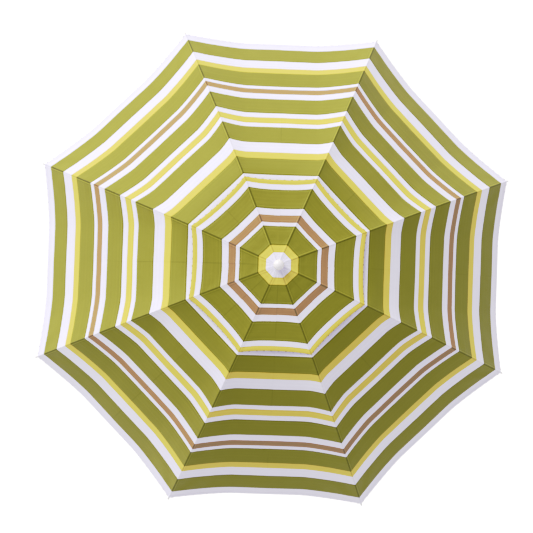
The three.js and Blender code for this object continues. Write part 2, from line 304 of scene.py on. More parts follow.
def in_rib_plane(n, r, z, side=0.0):
    """The point at that radius and height in the plane of rib n, moved sideways from it."""
    a = rib_azimuth(n)
    return Vector((r * math.cos(a) - side * math.sin(a), r * math.sin(a) + side * math.cos(a), z))


# ---------- the rib curve and the cloth on it ----------

STEP = 0.0005
PAST_ENDS = (0.012, 0.02)  # the curve goes on past both ends of the rib
stations = np.arange(-PAST_ENDS[0], RIB_LENGTH + PAST_ENDS[1], STEP)


def slope_at(s):
    outer = TIP_SLOPE * np.maximum(0, (s - BEND_END) / (RIB_LENGTH - BEND_END))
    return np.radians(CROWN_SLOPE + BEND_SLOPE * smooth(s, BEND_START, BEND_END) + outer)


def running(values):
    """The running sum of the values along the rib, 0 at the pivot."""
    total = np.concatenate([[0], np.cumsum((values[1:] + values[:-1]) / 2 * STEP)])
    return total - np.interp(0, stations, total)


top_r = PIVOT_R + running(np.cos(slope_at(stations)))
top_z = PIVOT_Z + RIB_EYE - running(np.sin(slope_at(stations)))


def rib_top(s):
    """Radius, height and slope of the rib's top edge."""
    return np.interp(s, stations, top_r), np.interp(s, stations, top_z), slope_at(np.asarray(s, float))


def under_rib(s, depth):
    r, z, slope = rib_top(s)
    return r - np.sin(slope) * depth, z - np.cos(slope) * depth, slope


def cloth_point(kind, s, across):
    """A point of the cloth in a frame whose X is the middle of the gore, with the outward direction there."""
    r, z, slope = rib_top(s)
    chord = r * math.cos(HALF_SECTOR)
    half = r * math.sin(HALF_SECTOR)
    y = half * (1 - across)
    sink = 1 - (1 - across) ** ACROSS_POWER
    if kind == "vent":
        middle = along(*VENT_MIDDLE, smooth(r, *VENT_MIDDLE_AT))
        sag = VENT_SAG * np.minimum(1, r / VENT_MIDDLE_AT[1])
        lift = VENT_LIFT
        pull = sink
    else:
        middle = along(*LOWER_MIDDLE, smooth(r, *LOWER_MIDDLE_AT))
        sag = LOWER_SAG
        lift = LOWER_LIFT
        pull = 1 - np.clip((y - PRESSED_FOLD) / np.maximum(half - PRESSED_FOLD, 0.02), 0, 1) ** FOLD_POWER
    x = chord + (r * middle - chord) * pull
    azimuth = np.arctan2(y, x)
    out = np.stack([np.cos(azimuth) * np.sin(slope), np.sin(azimuth) * np.sin(slope), np.cos(slope)], -1)
    return np.stack([x, y, z - sag * sink], -1) + out * lift, out, azimuth


def cloth_length(kind, start, end):
    """Seam stations and the length of cloth along the middle of the gore at each."""
    s = np.linspace(start, end, 600)
    p, _, _ = cloth_point(kind, s, np.ones_like(s))
    steps = np.linalg.norm(np.diff(p, axis=0), axis=1)
    return s, np.concatenate([[0], np.cumsum(steps)])


def near(x, middle, width):
    """1 at the middle, falling off like a bell over the width."""
    return np.exp(-(((x - middle) / width) ** 2))


CROWN_GATHERS = ((0.00016, 24, 0.0), (0.00007, 40, 0.5))  # (height, folds in a turn, phase)
PUCKER_HEIGHT = 0.00035
PUCKER_LENGTH = 0.0058
TIP_FOLD_HEIGHT = 0.0005
HEM_WAVE_HEIGHT = 0.0012
HEM_WAVE_LENGTH = 0.052


def gathers(kind, s, across, azimuth):
    """Small folds of the cloth, as a height: gathers at the crown, slack waves and puckers at the seam."""
    r, _, _ = rib_top(s)
    height = np.zeros_like(r)
    if kind == "vent":
        near_crown = near(r, 0.020, 0.022)
        for size, folds, phase in CROWN_GATHERS:
            height += size * near_crown * np.cos(azimuth * folds + phase)
    from_seam = r * math.sin(HALF_SECTOR) * across
    uneven = 3 * np.sin(s / 0.071)
    height += PUCKER_HEIGHT * near(from_seam, 0.012, 0.010) * np.sin(s / PUCKER_LENGTH + uneven)
    if kind == "lower":
        to_tip = np.hypot(HEM - s, from_seam)
        fan = near(to_tip, 0, 0.11) * smooth(to_tip, 0.012, 0.045)
        angle = np.arctan2(from_seam, HEM - s + 1e-6)
        height += TIP_FOLD_HEIGHT * fan * np.sin(angle * 9 + 0.8)
        height += HEM_WAVE_HEIGHT * across**2 * np.sin(s / HEM_WAVE_LENGTH + 0.7) * smooth(s, 0.25, 0.4)
    return height


def spaced(start, end, step):
    count = max(2, int(round((end - start) / step)))
    return np.linspace(start, end, count + 1)


def rows_for(kind):
    """Stations of the rows of the cloth's grid, close together at the hem."""
    start, hem, step = (VENT_START, VENT_HEM, 0.004) if kind == "vent" else (LOWER_START, HEM, 0.006)
    band = [hem - HEM_BAND - 0.0006, hem - HEM_BAND + 0.0002, hem - 0.0012, hem - 0.0004, hem]
    return np.concatenate([spaced(start, hem - HEM_BAND - 0.003, step), band])


def columns_for(kind):
    """Places across the half-gore of the columns of the cloth's grid, closer together at the rib."""
    count = 14 if kind == "vent" else 22
    t = np.linspace(0, 1, count + 1)
    return 0.35 * t**2 + 0.65 * t


def place_in_row(point, turn, mirror):
    """Turns a point from the gore's own frame to the gore's place in the canopy."""
    x, y, z = point
    if mirror:
        y = -y
    return (x * math.cos(turn) - y * math.sin(turn), x * math.sin(turn) + y * math.cos(turn), z)


def dashes(kind, turn, mirror):
    """Stitches over the hem's edge, as small closed bars, and how far across the gore each point is."""
    hem = VENT_HEM if kind == "vent" else HEM
    half = rib_top(hem)[0] * math.sin(HALF_SECTOR)
    count = max(4, int(half / STITCH_PITCH))
    shells = []
    for k in range(count):
        across = (k + 0.5) / count
        places, points = [], []
        for shift, thickness in STITCH_ENDS:
            at = across + shift * STITCH_LENGTH / 2 / half
            p, out, _ = cloth_point(kind, np.array([hem + STITCH_OUT]), np.array([at]))
            middle, up = p[0] + out[0] * STITCH_UP, out[0] * STITCH_RADIUS * thickness
            outward = np.array([1, 0, 0]) * STITCH_RADIUS * thickness
            section = (middle + up, middle + outward, middle - up, middle - outward)
            points.extend(place_in_row(q, turn, mirror) for q in section)
            places.extend([at] * 4)
        faces = [(0, 1, 2, 3), (15, 14, 13, 12)]
        for ring in (0, 4, 8):
            faces += [(ring + m, ring + 4 + m, ring + 4 + (m + 1) % 4, ring + (m + 1) % 4) for m in range(4)]
        shells.append((points, faces if mirror else [f[::-1] for f in faces], places))
    return shells


def bending(across):
    """How the turn of a pleat grows from its rib to its edge."""
    return 0.55 * (1 - np.cos(math.pi * across)) / 2 + 0.45 * across ** 1.5


def pleat_turns(points, across):
    """How far the points of a half-gore turn about the rib's chord when the umbrella shuts.

    The gore's middle meets the other half of the gore, and the slack cloth lies against that half's."""
    c, k = math.cos(HALF_SECTOR), math.sin(HALF_SECTOR)
    x, y, z = np.moveaxis(points, -1, 0)
    # the rib along X, and the middle of the gore at HALF_SECTOR from it
    arm = np.stack([x * c + y * k - PIVOT_R, x * k - y * c, z - PIVOT_Z], -1)
    meeting_plane = np.array([-k * math.cos(FOLD), c, -k * math.sin(FOLD)])
    along_chord = arm @ CHORD
    fixed = along_chord * (meeting_plane @ CHORD) - k * PIVOT_R + PLEAT_CLEARANCE * (1 - across ** 4)
    level = arm @ meeting_plane - along_chord * (meeting_plane @ CHORD)
    lifted = np.cross(CHORD, arm) @ meeting_plane
    reach = np.maximum(np.hypot(level, lifted), 1e-9)
    turns = np.arctan2(lifted, level) + np.arccos(np.clip(-fixed / reach, -1, 1))
    # a point that is on its own side of the plane already doesn't have to turn
    turns = np.clip(np.where(fixed + level > 0, turns, 0), 0, PLEAT)
    return np.maximum(turns, turns[:, -1:] * bending(across))


def half_gore(kind, n, word, materials):
    """One half of a gore, as a thin closed sheet from rib n to the middle of the gore on that side."""
    mirror = word == "left"
    turn = rib_azimuth(n) + HALF_SECTOR if mirror else rib_azimuth(n) - HALF_SECTOR
    rows, columns = rows_for(kind), columns_for(kind)
    s, across = np.meshgrid(rows, columns, indexing="ij")
    flat, out, azimuth = cloth_point(kind, s, across)
    r, _, _ = rib_top(s)
    from_seam = r * math.sin(HALF_SECTOR) * across
    fold = gathers(kind, s, across, azimuth)
    hem = rows[-1]
    band = TURNED_UNDER * smooth(s, hem - HEM_BAND - HEM_STEP, hem - HEM_BAND)
    fell = TURNED_UNDER * (1 - smooth(from_seam, FELL, FELL + FELL_STEP)) if mirror else 0 * s
    round_off = CLOTH * 0.6 * smooth(s, hem - EDGE_ROUND, hem)
    top = flat + out * (CLOTH / 2 + fold + band + fell - round_off)[..., None]
    bottom = flat + out * (-CLOTH / 2 + fold - band + round_off)[..., None]
    seam_gap = np.array([math.sin(HALF_SECTOR), -math.cos(HALF_SECTOR), 0]) * SEAM_GAP
    for layer in (top, bottom):
        layer[:, 0] += seam_gap
        layer[:, -1, 1] = -MIDDLE_OVERLAP

    s_line, y_line = cloth_length(kind, rows[0], rows[-1])
    cloth_y = y_line[-1] - np.interp(s, s_line, y_line)
    cloth_x = r * math.sin(HALF_SECTOR) * (1 - across)
    # the last number is the distance from the seam, negative on the side without the fell
    coords = np.stack([cloth_x, cloth_y, from_seam if mirror else -from_seam], -1)

    row_count, width = s.shape
    grid = np.concatenate([top.reshape(-1, 3), bottom.reshape(-1, 3)])
    points = [place_in_row(p, turn, mirror) for p in grid]
    under = row_count * width
    faces = []
    for i in range(row_count - 1):
        for j in range(width - 1):
            a, b, c, d = i * width + j, i * width + j + 1, (i + 1) * width + j + 1, (i + 1) * width + j
            faces.append((a, b, c, d))
            faces.append((under + a, under + d, under + c, under + b))
    for i in range(row_count - 1):
        for j, flip in ((0, False), (width - 1, True)):
            a, d = i * width + j, (i + 1) * width + j
            quad = (a, d, under + d, under + a)
            faces.append(quad[::-1] if flip else quad)
    for j in range(width - 1):
        for i, flip in ((0, True), (row_count - 1, False)):
            a, b = i * width + j, i * width + j + 1
            quad = (a, under + a, under + b, b)
            faces.append(quad if flip else quad[::-1])
    # +X is outward and +Y towards the rib, so the upper faces turn over on the mirrored half
    if not mirror:
        faces = [f[::-1] for f in faces]
    sheet_count = len(faces)
    turns = pleat_turns(bottom, across) / PLEAT
    weights = [*turns.ravel()] * 2
    for shell_points, shell_faces, places in dashes(kind, turn, mirror):
        start = len(points)
        points.extend(shell_points)
        faces.extend([tuple(start + i for i in f) for f in shell_faces])
        weights.extend(np.interp(places, columns, turns[-1]))
    numbers = [0] * sheet_count + [1] * (len(faces) - sheet_count)
    name = ("vent_cloth_" if kind == "vent" else "canopy_cloth_") + f"{n}_{word}"
    piece = make_mesh(name, points, faces, 50, materials, numbers)
    cloth = np.zeros((len(points), 3), np.float32)
    cloth[: 2 * under] = np.concatenate([coords.reshape(-1, 3)] * 2)
    attribute = piece.data.attributes.new("cloth", "FLOAT_VECTOR", "POINT")
    attribute.data.foreach_set("vector", cloth.ravel())

    node = ("vent_" if kind == "vent" else "canopy_") + f"{n}_{word}"
    start = in_rib_plane(n, PIVOT_R, PIVOT_Z)
    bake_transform(piece)
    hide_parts(node)


# ---------- materials ----------


class Tree:
    """A material's node tree, with short calls for the nodes that it is made of."""

    def __init__(self, name, roughness=0.5, metallic=0.0, **sockets):
        self.material = bpy.data.materials.new(name)
        self.material.use_nodes = True
        self.tree = self.material.node_tree
        self.shader = self.tree.nodes["Principled BSDF"]
        self.shader.inputs["Roughness"].default_value = roughness
        self.shader.inputs["Metallic"].default_value = metallic
        for socket, value in sockets.items():
            self.shader.inputs[socket.replace("_", " ")].default_value = value

    def put(self, target, value):
        if isinstance(value, bpy.types.NodeSocket):
            self.tree.links.new(value, target)
        else:
            target.default_value = value

    def math(self, operation, a, b=0.0):
        node = self.tree.nodes.new("ShaderNodeMath")
        node.operation = operation
        for socket, value in zip(node.inputs, (a, b)):
            self.put(socket, value)
        return node.outputs[0]

    def times(self, a, b):
        return self.math("MULTIPLY", a, b)

    def inverse(self, value):
        return self.math("SUBTRACT", 1.0, value)

    def apart(self, a, b):
        """How far two numbers are apart."""
        return self.math("ABSOLUTE", self.math("SUBTRACT", a, b))

    def swing(self, value, amount):
        """A value around 0.5 as a swing of that amount around 0."""
        return self.times(self.math("SUBTRACT", value, 0.5), amount)

    def step(self, value, low, high):
        """0 below low and 1 above high, smoothly."""
        node = self.tree.nodes.new("ShaderNodeMapRange")
        node.interpolation_type = "SMOOTHSTEP"
        for socket, number in zip(("Value", "From Min", "From Max"), (value, low, high)):
            self.put(node.inputs[socket], number)
        return node.outputs["Result"]

    def mix(self, share, a, b, blend="MIX"):
        node = self.tree.nodes.new("ShaderNodeMix")
        node.data_type = "RGBA"
        node.blend_type = blend
        self.put(node.inputs[0], share)
        for socket, value in ((node.inputs[6], a), (node.inputs[7], b)):
            self.put(socket, value if isinstance(value, bpy.types.NodeSocket) else (*value, 1.0))
        return node.outputs[2]

    def noise(self, vector, scale, detail=3.0, roughness=0.5):
        node = self.tree.nodes.new("ShaderNodeTexNoise")
        self.put(node.inputs["Vector"], vector)
        self.put(node.inputs["Scale"], scale)
        self.put(node.inputs["Detail"], detail)
        self.put(node.inputs["Roughness"], roughness)
        return node.outputs["Fac"]

    def scaled(self, vector, x, y, z):
        node = self.tree.nodes.new("ShaderNodeVectorMath")
        node.operation = "MULTIPLY"
        self.put(node.inputs[0], vector)
        node.inputs[1].default_value = (x, y, z)
        return node.outputs[0]

    def band(self, value, middle, core, width):
        """1 within core of the middle, falling to 0 at width from it."""
        return self.inverse(self.step(self.apart(value, middle), core, width))

    def dash(self, value, length):
        """Dashes of that length with gaps between them."""
        return self.step(self.math("PINGPONG", value, length), length * 0.25, length * 0.4)

    def deepened(self, colour, power):
        """A deeper colour for a power above 1. White hardly changes, and strong dyes change most."""
        node = self.tree.nodes.new("ShaderNodeGamma")
        self.put(node.inputs["Color"], colour)
        self.put(node.inputs["Gamma"], power)
        return node.outputs[0]

    def shaded(self, colour, amount):
        """The colour made darker by a power of its own brightness, so that a mark shows least on white."""
        bright = self.tree.nodes.new("ShaderNodeRGBToBW")
        self.put(bright.inputs[0], colour)
        share = self.math("POWER", bright.outputs[0], amount)
        node = self.tree.nodes.new("ShaderNodeVectorMath")
        node.operation = "SCALE"
        self.put(node.inputs[0], colour)
        self.put(node.inputs["Scale"], share)
        return node.outputs[0]

    def place(self):
        return self.tree.nodes.new("ShaderNodeNewGeometry").outputs["Position"]

    def split(self, vector):
        node = self.tree.nodes.new("ShaderNodeSeparateXYZ")
        self.put(node.inputs[0], vector)
        return node.outputs

    def ramp(self, factor, stops, constant=False):
        node = self.tree.nodes.new("ShaderNodeValToRGB")
        node.color_ramp.interpolation = "CONSTANT" if constant else "LINEAR"
        elements = node.color_ramp.elements
        elements[0].position, elements[0].color = stops[0][0], (*stops[0][1], 1)
        elements[1].position, elements[1].color = stops[1][0], (*stops[1][1], 1)
        for position, colour in stops[2:]:
            elements.new(position).color = (*colour, 1)
        self.put(node.inputs[0], factor)
        return node.outputs[0]

    def bump(self, height, distance, strength=1.0, normal=None):
        node = self.tree.nodes.new("ShaderNodeBump")
        self.put(node.inputs["Height"], height)
        node.inputs["Distance"].default_value = distance
        node.inputs["Strength"].default_value = strength
        if normal is not None:
            self.put(node.inputs["Normal"], normal)
        return node.outputs[0]

    def finish(self, colour, roughness, normal):
        for socket, value in (("Base Color", colour), ("Roughness", roughness), ("Normal", normal)):
            self.put(self.shader.inputs[socket], value)
        return self.material


WANDER = 0.0016  # of the borders between stripes
YARN_SHADE, PIN_SHADE, CLOUD_SHADE = 0.10, 0.10, 0.07
EDGE_DEPTH, INNER_PALE = 0.14, 0.06  # the deeper line beside each border, and the paler one inside it
EDGE_ON_GREEN, EDGE_ELSEWHERE = 1.0, 0.4
# The groove's darkening is painted shade, and the ridge's, below 0, is a painted highlight; the stitches' is
# thread.
GROOVE_PAINTED_SHADE, RIDGE_PAINTED_HIGHLIGHT, STITCH_DARK = 0.42, -0.10, 0.12
# The crease's darkening is painted shade; the hem stitches' is thread and the pin line's is print.
HEM_STITCH_DARK, CREASE_PAINTED_SHADE, PIN_DARK = 0.25, 0.075, 0.022
DASH = 0.0016
WEAVE_PITCH = 0.0009


def cloth_material(name, stripes):
    """Plain-woven polyester with stripes across the gore, with painted shade at the seams and in the middle
    crease, a painted highlight on each fell, and stitches at the hem.
    """
    t = Tree(name, roughness=0.72, Sheen_Weight=0.25, Sheen_Roughness=0.4, Specular_IOR_Level=0.3)
    coordinate = t.tree.nodes.new("ShaderNodeAttribute")
    coordinate.attribute_name = "cloth"
    cloth = coordinate.outputs["Vector"]
    across, from_hem, felled_side = t.split(cloth)
    from_seam = t.math("ABSOLUTE", felled_side)
    total = sum(width for _, width in stripes) * MM
    borders, reached = [], 0.0
    for colour, width in stripes:
        borders.append((reached / total, colour))
        reached += width * MM
    wander = t.swing(t.noise(cloth, 9.0, 2.0), WANDER)
    where = t.math("DIVIDE", t.math("ADD", from_hem, wander), total)
    dyed = t.ramp(where, [(place, DYES[colour]) for place, colour in borders], constant=True)

    # faint lines along the stripes, from yarns that took the dye unevenly
    yarn = t.noise(t.scaled(cloth, 6.0, 900.0, 0.0), 1.0, 2.0, 0.6)
    pin = t.noise(t.scaled(cloth, 1.0, 160.0, 0.0), 1.0, 1.0)
    cloudy = t.noise(cloth, 16.0, 4.0, 0.55)
    shade = 1.0
    for pattern, amount in ((yarn, YARN_SHADE), (pin, PIN_SHADE), (cloudy, CLOUD_SHADE)):
        shade = t.math("ADD", shade, t.swing(pattern, amount))
    grey = t.tree.nodes.new("ShaderNodeCombineColor")
    for socket in grey.inputs[:3]:
        t.put(socket, shade)
    coloured = t.mix(1.0, dyed, grey.outputs[0], "MULTIPLY")

    # lines beside each border between stripes: a deeper edge, then a paler yarn inside it
    (first, _), *others = borders[1:]
    border = t.apart(where, first)
    for place, _ in others:
        border = t.math("MINIMUM", border, t.apart(where, place))
    border = t.times(border, total)
    strengths = [EDGE_ON_GREEN if colour == "green" else EDGE_ELSEWHERE for _, colour in borders]
    strength = t.ramp(where, [(place, (s, s, s)) for (place, _), s in zip(borders, strengths)], constant=True)
    edge = t.times(t.inverse(t.step(border, 0.0012, 0.0030)), strength)
    inner = t.band(border, 0.0046, 0.0003, 0.0014)
    deeper = t.math("SUBTRACT", t.times(edge, EDGE_DEPTH), t.times(inner, INNER_PALE))
    coloured = t.deepened(coloured, t.math("ADD", 1.0, deeper))

    # the seam: painted shade in a groove along the rib, a painted highlight on the paler ridge where the fell
    # lies, and its stitch line
    groove = t.inverse(t.step(from_seam, 0.0008, 0.0026))
    ridge = t.band(felled_side, 0.0036, 0.0010, 0.0024)
    stitch = t.times(t.band(felled_side, FELL + 0.0008, 0.0005, 0.0014), t.dash(from_hem, DASH))
    hem_stitch = t.times(t.band(from_hem, 0.0072, 0.0003, 0.0010), t.dash(across, DASH))
    # painted shade in a patchy crease down the middle of the gore, where it was folded, and one more line
    # inside each border
    patches = t.step(t.noise(t.place(), 5.0, 1.0), 0.46, 0.62)
    crease = t.times(t.inverse(t.step(across, 0.0004, 0.0020)), patches)
    pin_line = t.band(border, 0.0068, 0.0003, 0.0014)
    # All the darkening together: thread and print, with painted shade in the groove and the crease and a
    # painted highlight on the ridge.
    marks_and_painted_light = 0.0
    for mask, amount in ((groove, GROOVE_PAINTED_SHADE), (ridge, RIDGE_PAINTED_HIGHLIGHT), (stitch, STITCH_DARK),
                         (hem_stitch, HEM_STITCH_DARK), (crease, CREASE_PAINTED_SHADE), (pin_line, PIN_DARK)):
        marks_and_painted_light = t.math("ADD", marks_and_painted_light, t.times(mask, amount))
    coloured = t.shaded(coloured, marks_and_painted_light)

    # the weave, slack waves in the cloth and puckers beside the seam
    warp = t.math("SINE", t.times(across, 2 * math.pi / WEAVE_PITCH))
    weft = t.math("SINE", t.times(from_hem, 2 * math.pi / WEAVE_PITCH))
    weave = t.bump(t.times(warp, weft), 0.00004, 0.5)
    slack = t.noise(t.scaled(cloth, 24.0, 9.0, 0.0), 1.0, 3.0, 0.5)
    puckers = t.noise(t.scaled(cloth, 30.0, 150.0, 0.0), 1.0, 2.0)
    at_seam = t.inverse(t.step(from_seam, 0.004, 0.030))
    waves = t.math("ADD", slack, t.times(t.times(puckers, at_seam), 0.5))
    rough = t.math("ADD", 0.64, t.times(yarn, 0.16))
    return t.finish(coloured, rough, t.bump(waves, 0.0022, 0.5, weave))


def grained(name, colour, roughness, metallic=0.0, grain=400.0, depth=0.00004, spread=0.08,
            stretch=(1, 1, 1), **sockets):
    """A plain material with a fine grain in its colour and surface, and broader, fainter patches."""
    t = Tree(name, roughness, metallic, **sockets)
    place = t.scaled(t.place(), *stretch)
    fine = t.noise(place, grain, 4.0, 0.6)
    broad = t.noise(place, grain / 14, 3.0)
    low = tuple(c * (1 - 2 * spread) for c in colour)
    high = tuple(min(1.0, c * (1 + spread)) for c in colour)
    shade = t.mix(t.math("ADD", t.times(fine, 0.5), t.times(broad, 0.5)), low, high)
    rough = t.math("ADD", roughness - 0.08, t.times(broad, 0.16))
    return t.finish(shade, rough, t.bump(fine, depth, 0.6))


canopy_cloth = cloth_material("canopy_cloth_look", LOWER_STRIPES)
vent_cloth = cloth_material("vent_cloth_look", VENT_STRIPES)
thread = grained("thread_look", (0.25, 0.245, 0.20), 0.8, grain=2500.0)
tip_plastic = grained("tip_plastic_look", (0.72, 0.72, 0.70), 0.38, 0.0, 900.0, 0.00003, 0.06)
drawn_steel = grained("drawn_steel_look", (0.40, 0.41, 0.43), 0.28, 1.0, 900.0, 0.00002, 0.05, (1, 1, 0.03))
rib_steel = grained("rib_steel_look", (0.055, 0.057, 0.062), 0.36, 0.0, 700.0, 0.00002, 0.15, Coat_Weight=0.3)
bright_metal = grained("bright_metal_look", (0.50, 0.50, 0.50), 0.34, 1.0, 1200.0, 0.00002, 0.1)
ball_plastic = grained("ball_plastic_look", (0.93, 0.91, 0.92), 0.30, 0.0, 300.0, 0.00001, 0.02,
                       Coat_Weight=0.12)
notch_plastic = grained("notch_plastic_look", (0.74, 0.74, 0.75), 0.42, 0.0, 500.0, 0.00003, 0.04)
runner_plastic = grained("runner_plastic_look", (0.022, 0.023, 0.025), 0.42, 0.0, 900.0, 0.00004, 0.2)
grip_foam = grained("grip_foam_look", (0.045, 0.045, 0.048), 0.82, 0.0, 900.0, 0.00030, 0.3)


# ---------- camera ----------


CAMERA_DISTANCE = 5.0
CAMERA_LEAN = math.radians(2.33)
CAMERA_LEAN_AZIMUTH = math.radians(221)
CAMERA_ROLL = math.radians(2.0)
CAMERA_AIM = Vector((-0.0232, -0.0002, 0.78))
CAMERA_LENS, CAMERA_SENSOR = 137.0, 36


def direction_to(azimuth, height):
    """The unit vector towards that azimuth and height, both in radians."""
    level = math.cos(height)
    return Vector((math.cos(azimuth) * level, math.sin(azimuth) * level, math.sin(height)))


def add_camera():
    """Almost straight above, leaning towards -X and -Y, with +Y at the top of the picture."""
    view = direction_to(CAMERA_LEAN_AZIMUTH, math.pi / 2 - CAMERA_LEAN)
    up = Vector((-math.sin(CAMERA_ROLL), math.cos(CAMERA_ROLL), 0))
    right = up.cross(view).normalized()
    data = bpy.data.cameras.new("camera")
    data.sensor_width = CAMERA_SENSOR
    data.lens = CAMERA_LENS
    data.clip_end = 60
    camera = bpy.data.objects.new("camera", data)
    bpy.context.scene.collection.objects.link(camera)
    turn = Matrix((right, view.cross(right), view)).transposed().to_4x4()
    camera.matrix_world = Matrix.Translation(CAMERA_AIM + view * CAMERA_DISTANCE) @ turn
    bpy.context.scene.camera = camera


add_camera()


# ---------- canopies ----------

for n in range(1, RIBS + 1):
    for word in ("right", "left"):
        half_gore("lower", n, word, [canopy_cloth, thread])
        half_gore("vent", n, word, [vent_cloth, thread])


# ---------- ribs, tips and stretchers ----------


RIVET_SIZE = (0.001, 0.0040)  # radius and half length
RIVET_HEAD_AT = 0.0039
RIVET_HEAD = [(0, -0.0003), (0.0017, -0.0003), (0.0017, 0.0001), (0.0013, 0.0006), (0, 0.0009)]
TIP_HOLD = 0.006  # how much of the rib's end the tip covers
TIP_R = 0.0031
TIP = [(0, 0), (TIP_R, 0), (TIP_R, 0.005), (0.0023, 0.009), (0.0018, 0.0135), (0.0018, 0.0145)]
BEAD_R, BEAD_AT = 0.0021, 0.0158
TIES, TIE_AT, TIE_PITCH, TIE_R = 3, 0.0024, 0.0007, 0.0003
STRETCHER_WIDTH = 0.0032
STRETCHER_HALF = 0.002  # half its height
EAR_R = 0.0022
EAR_HALF = 0.0006  # half the thickness of each ear of its fork
EAR_GAP = 0.0003
EAR_END = 0.019
CROTCH = (0.0152, 0.0188)
CROTCH_HALF_WIDTH = 0.0024


def channel(width, height, wall=0.0009, ease=0.0006):
    """A section of drawn channel, open below, with eased upper corners: (side, up) pairs."""
    w, t = width / 2, wall
    corner = [(w, -ease), (w - ease * 0.3, -ease * 0.3), (w - ease, 0)]
    return [
        (-w, -height), (-w + t, -height), (-w + t, -t), (w - t, -t), (w - t, -height), (w, -height),
        *corner, *[(-side, up) for side, up in corner[::-1]],
    ]


def disc(radius, half, segments, bore=0.0):
    """A disc or ring about Z with eased edges."""
    ease = min(0.00025, half / 2)
    outline = [(radius - ease, -half), (radius, -half + ease), (radius, half - ease), (radius - ease, half)]
    return turned([(bore, -half), *outline, (bore, half)], segments)


def add_rib(n):
    side = in_rib_plane(n, 0, 0, 1.0)
    rows = [[0.0005, 0.004], spaced(0.012, BEND_START, 0.02), spaced(BEND_START, RIB_LENGTH, 0.011)[1:]]
    frames = []
    for s in np.concatenate(rows):
        r, z, slope = under_rib(s, 0)
        up = in_rib_plane(n, math.sin(slope), math.cos(slope))
        frames.append((in_rib_plane(n, r, z), side, up))
    bar = swept(frames, channel(RIB_WIDTH, RIB_HEIGHT))
    pivot_at = in_rib_plane(n, PIVOT_R, PIVOT_Z)
    eye = moved(disc(RIB_EYE, RIB_WIDTH / 2 - 0.0001, 24, EYE_BORE), pointing(side, pivot_at))
    rivet_at = in_rib_plane(n, RIVET_R, RIVET_Z)
    rivet = moved(disc(*RIVET_SIZE, 16), pointing(side, rivet_at))
    shells = [(*bar, 0), (*eye, 0), (*rivet, 1)]
    for k in (1, -1):
        head = moved(turned(RIVET_HEAD, 20), pointing(side * k, rivet_at + side * k * RIVET_HEAD_AT))
        shells.append((*head, 1))
    points, faces, numbers = merge(shells)
    piece = make_mesh(f"rib_channel_{n}", points, faces, 30, [rib_steel, bright_metal], numbers)
    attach(piece, f"rib_{n}")
    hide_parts(f"rib_{n}")


def add_tip(n):
    """A white plastic tip with a bead, on the rib's end, and the thread that ties the hem's corner to it."""
    r, z, slope = under_rib(RIB_LENGTH - TIP_HOLD, RIB_HEIGHT / 2)
    along_rib = pointing(in_rib_plane(n, math.cos(slope), -math.sin(slope)), in_rib_plane(n, r, z))
    bead = [(BEAD_R * math.cos(a), BEAD_AT + BEAD_R * math.sin(a)) for a in np.linspace(-0.6, math.pi / 2, 7)]
    bead[-1] = (0.0, bead[-1][1])
    body = moved(turned(rounded(TIP, 0.0006)[:-1] + bead, 24), along_rib)
    shells = [(*body, 0)]
    for k in range(TIES):
        tie = [(TIP_R + TIE_R * math.cos(a), TIE_AT + TIE_PITCH * k + TIE_R * math.sin(a))
               for a in np.linspace(0, 2 * math.pi, 7)[:-1]]
        shells.append((*moved(turned(tie, 24), along_rib), 1))
    points, faces, numbers = merge(shells)
    piece = make_mesh(f"rib_tip_{n}", points, faces, 40, [tip_plastic, thread], numbers)
    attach(piece, f"rib_{n}")


def add_stretcher(n):
    """A channel with an eye at the runner and a forked end, one ear on each side of the rib."""
    side = in_rib_plane(n, 0, 0, 1.0)
    start = in_rib_plane(n, RIVET_R, RIVET_Z)
    end = in_rib_plane(n, PIVOT_R, RUNNER_Z)
    run = (end - start).normalized()
    up = side.cross(run)
    if up.z < 0:
        up = -up

    def frames_at(*places):
        return [(start + run * d + up * STRETCHER_HALF, side, up) for d in places]

    height = 2 * STRETCHER_HALF
    bar = swept(frames_at(0.016, 0.018, STRETCHER_LENGTH - 0.012, STRETCHER_LENGTH - 0.002),
                channel(STRETCHER_WIDTH, height, 0.0008, 0.0005))
    eye = moved(disc(RIB_EYE, STRETCHER_WIDTH / 2, 24, 0.0007), pointing(side, end))
    shells = [(*bar, 0), (*eye, 0)]
    ear_at = RIB_WIDTH / 2 + EAR_GAP + EAR_HALF
    outline = [(EAR_R * math.cos(a), EAR_R * math.sin(a)) for a in np.linspace(math.pi / 2, 1.5 * math.pi, 9)]
    outline += [(EAR_END, -STRETCHER_HALF), (EAR_END, STRETCHER_HALF)]
    section = [start + run * x + up * y for x, y in outline]
    for k in (1, -1):
        near_face, far_face = (
            [tuple(p + side * (k * ear_at + shift)) for p in section] for shift in (-EAR_HALF, EAR_HALF))
        shells.append((*prism(near_face, far_face), 0))
    w = CROTCH_HALF_WIDTH
    shells.append((*swept(frames_at(*CROTCH), [(-w, -height), (w, -height), (w, 0), (-w, 0)]), 0))
    points, faces, numbers = merge(shells)
    piece = make_mesh(f"stretcher_bar_{n}", points, faces, 30, [rib_steel], numbers)
    tidy_normals(piece)
    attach(piece, f"stretcher_{n}")
    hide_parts(f"stretcher_{n}")


for n in range(1, RIBS + 1):
    add_rib(n)
    add_tip(n)
    add_stretcher(n)


# ---------- shaft, crown, finial, runner and handle ----------


SLIDE_GAP = 0.0003  # round the shaft
SLOT_R = 0.012
STOP_GAP = 0.0001
NOTCH_SLOT, RUNNER_SLOT = 0.0048, 0.0044
HEAD_HALF = 0.004  # half the height of the runner's slotted head
SLEEVE_R, FLANGE_R = 0.0115, 0.014
GROOVES, GROOVE_START, GROOVE_PITCH = 6, 0.012, 0.005
RELIEF_GAP = 0.0004
RELIEF_HALF_WIDTH = 0.0022
CATCH_FLAT = 0.006
RIDGES, RIDGE_START, RIDGE_PITCH = 9, 0.042, 0.0125


